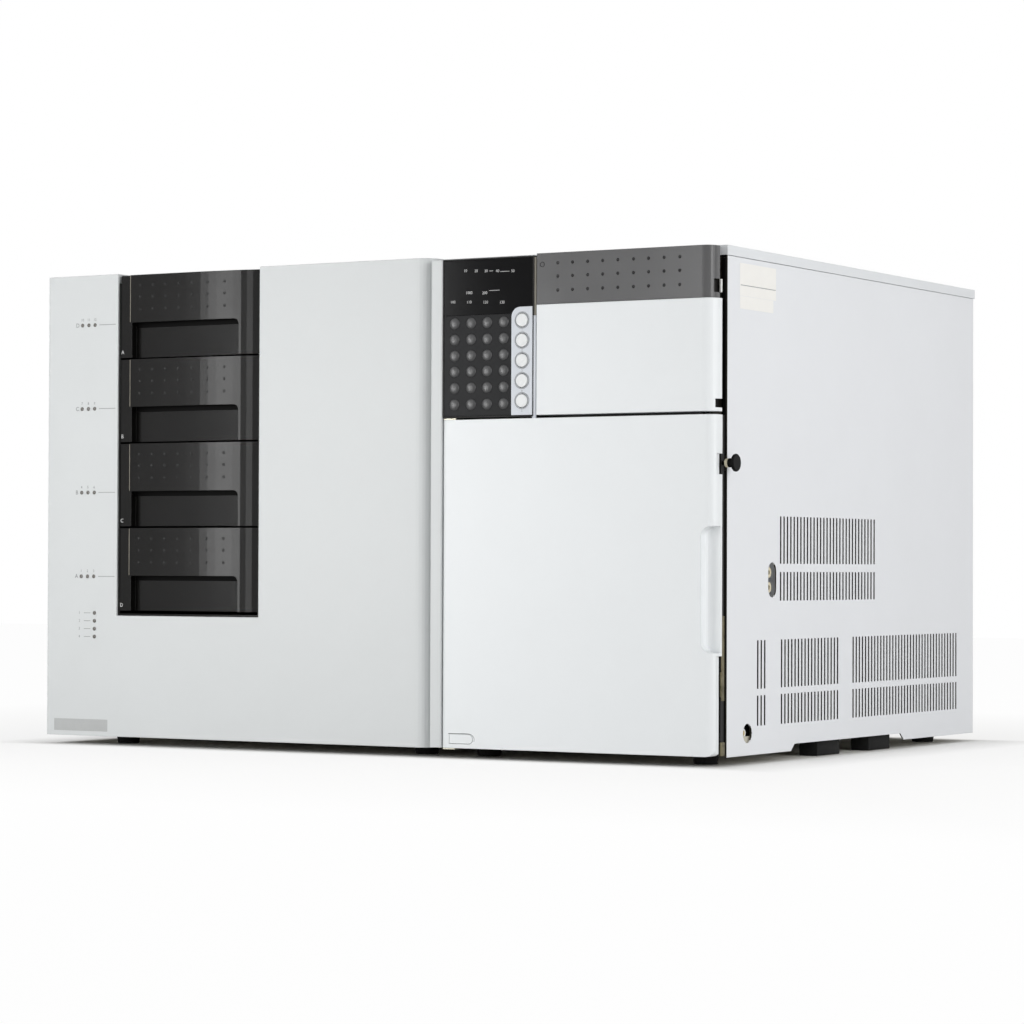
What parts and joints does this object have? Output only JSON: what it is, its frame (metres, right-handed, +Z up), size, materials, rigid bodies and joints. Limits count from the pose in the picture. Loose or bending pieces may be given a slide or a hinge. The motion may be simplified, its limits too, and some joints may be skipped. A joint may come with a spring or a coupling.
{
  "type": "laboratory autosampler",
  "caption": "Bench autosampler with a cooled sample bay behind a hinged door, joined to a rack changer with sliding plate drawers.",
  "frame": {"origin": "middle of the footprint, on the table", "axes": "+X to the right seen from the front, +Y to the back, +Z up"},
  "size_m": [0.6702, 0.5088, 0.4073],
  "materials": {
    "white_plastic": "fine satin",
    "panel_coat": "fine textured powder coat",
    "dark_plastic": "fine matte",
    "drawer_black": "semi-gloss",
    "band_grey": "satin",
    "display_black": "glossy",
    "keypad_grey": "satin film",
    "zinc_plate": "yellow passivated zinc",
    "bare_metal": "bead blasted",
    "ground_steel": "ground",
    "cream_plastic": "natural, machined",
    "liner_grey": "vacuum formed",
    "board_green": "solder mask",
    "lens_grey": "translucent"
  },
  "bodies": {
    "housing": {"module_chassis": "zinc_plate", "module_left_panel": "panel_coat", "module_right_panel": "panel_coat", "module_top_cover": "panel_coat", "front_frame": "dark_plastic", "left_trim": "white_plastic", "control_housing": "dark_plastic", "display_window": "display_black", "keypad_membrane": "keypad_grey", "key_strip": "white_plastic", "control_board": "board_green", "cover_hinge_lower": "dark_plastic", "cover_hinge_upper": "dark_plastic", "door_hinge_upper": "zinc_plate", "door_hinge_lower": "zinc_plate", "tube_fittings": "cream_plastic", "drain_port": "cream_plastic", "sample_chamber": "liner_grey", "sample_rack": "bare_metal", "injection_port": "white_plastic", "gantry_rail": "ground_steel", "injection_valve": "bare_metal", "metering_pump": "dark_plastic", "heat_sink": "bare_metal", "fan_frame": "dark_plastic", "power_supply": "zinc_plate", "rack_chassis": "zinc_plate", "rack_left_panel": "panel_coat", "rack_right_panel": "panel_coat", "rack_top_cover": "panel_coat", "rack_bezel": "white_plastic", "drawer_bay": "drawer_black", "indicator_board": "lens_grey", "elevator_frame": "ground_steel"},
    "drawer_a": {"drawer_front_a": "drawer_black", "drawer_tray_a": "bare_metal"},
    "drawer_b": {"drawer_front_b": "drawer_black", "drawer_tray_b": "bare_metal"},
    "drawer_c": {"drawer_front_c": "drawer_black", "drawer_tray_c": "bare_metal"},
    "drawer_d": {"drawer_front_d": "drawer_black", "drawer_tray_d": "bare_metal"},
    "door": {"lower_door": "white_plastic", "door_liner": "liner_grey"},
    "power_switch": {"power_button": "white_plastic"},
    "cover": {"upper_cover": "white_plastic", "cover_band": "band_grey"},
    "key_1": {"round_key_1": "white_plastic"},
    "key_2": {"round_key_2": "white_plastic"},
    "key_3": {"round_key_3": "white_plastic"},
    "key_4": {"round_key_4": "white_plastic"},
    "key_5": {"round_key_5": "white_plastic"},
    "knob": {"side_knob": "dark_plastic"},
    "gantry": {"gantry_slide": "bare_metal"},
    "carriage": {"needle_carriage": "bare_metal"},
    "needle": {"needle_head": "ground_steel"},
    "fan": {"fan_rotor": "dark_plastic"},
    "elevator": {"elevator_carriage": "bare_metal"},
    "shuttle": {"arm_shuttle": "bare_metal"},
    "arm": {"transfer_arm": "bare_metal"}
  },
  "joints": [
    {"name": "drawer_a_slide", "type": "slide", "parent": "housing", "child": "drawer_a", "axis": [0, -1, 0], "range_m": [0, 0.265]},
    {"name": "drawer_b_slide", "type": "slide", "parent": "housing", "child": "drawer_b", "axis": [0, -1, 0], "range_m": [0, 0.265]},
    {"name": "drawer_c_slide", "type": "slide", "parent": "housing", "child": "drawer_c", "axis": [0, -1, 0], "range_m": [0, 0.265]},
    {"name": "drawer_d_slide", "type": "slide", "parent": "housing", "child": "drawer_d", "axis": [0, -1, 0], "range_m": [0, 0.265]},
    {"name": "door_hinge", "type": "hinge", "parent": "housing", "child": "door", "pos_m": [0.0791, -0.2502, 0.1412], "axis": [0, 0, -1], "range_deg": [0, 92]},
    {"name": "power_press", "type": "slide", "parent": "door", "child": "power_switch", "axis": [0, 1, 0], "range_m": [0, 0.0015], "stiffness_N_per_m": 300, "springref_m": -0.0005},
    {"name": "cover_hinge", "type": "hinge", "parent": "housing", "child": "cover", "pos_m": [0.3132, -0.2432, 0.3414], "axis": [0, 0, 1], "range_deg": [0, 100]},
    {"name": "key_1_press", "type": "slide", "parent": "housing", "child": "key_1", "axis": [0, 1, 0], "range_m": [0, 0.001], "stiffness_N_per_m": 300, "springref_m": -0.0005},
    {"name": "key_2_press", "type": "slide", "parent": "housing", "child": "key_2", "axis": [0, 1, 0], "range_m": [0, 0.001], "stiffness_N_per_m": 300, "springref_m": -0.0005},
    {"name": "key_3_press", "type": "slide", "parent": "housing", "child": "key_3", "axis": [0, 1, 0], "range_m": [0, 0.001], "stiffness_N_per_m": 300, "springref_m": -0.0005},
    {"name": "key_4_press", "type": "slide", "parent": "housing", "child": "key_4", "axis": [0, 1, 0], "range_m": [0, 0.001], "stiffness_N_per_m": 300, "springref_m": -0.0005},
    {"name": "key_5_press", "type": "slide", "parent": "housing", "child": "key_5", "axis": [0, 1, 0], "range_m": [0, 0.001], "stiffness_N_per_m": 300, "springref_m": -0.0005},
    {"name": "knob_turn", "type": "hinge", "parent": "housing", "child": "knob", "pos_m": [0.3239, -0.2366, 0.2367], "axis": [1, 0, 0], "continuous": true},
    {"name": "gantry_travel", "type": "slide", "parent": "housing", "child": "gantry", "axis": [-1, 0, 0], "range_m": [-0.045, 0.105]},
    {"name": "needle_travel", "type": "slide", "parent": "gantry", "child": "carriage", "axis": [0, -1, 0], "range_m": [0, 0.165]},
    {"name": "needle_dip", "type": "slide", "parent": "carriage", "child": "needle", "axis": [0, 0, -1], "range_m": [0, 0.033]},
    {"name": "fan_spin", "type": "hinge", "parent": "housing", "child": "fan", "pos_m": [0.1959, 0.111, 0.1887], "axis": [0, 1, 0], "continuous": true},
    {"name": "elevator_lift", "type": "slide", "parent": "housing", "child": "elevator", "axis": [0, 0, 1], "range_m": [0, 0.21825]},
    {"name": "shuttle_travel", "type": "slide", "parent": "elevator", "child": "shuttle", "axis": [0, 1, 0], "range_m": [0, 0.172]},
    {"name": "arm_reach", "type": "slide", "parent": "shuttle", "child": "arm", "axis": [-1, 0, 0], "range_m": [-0.09, 0.09]}
  ]
}
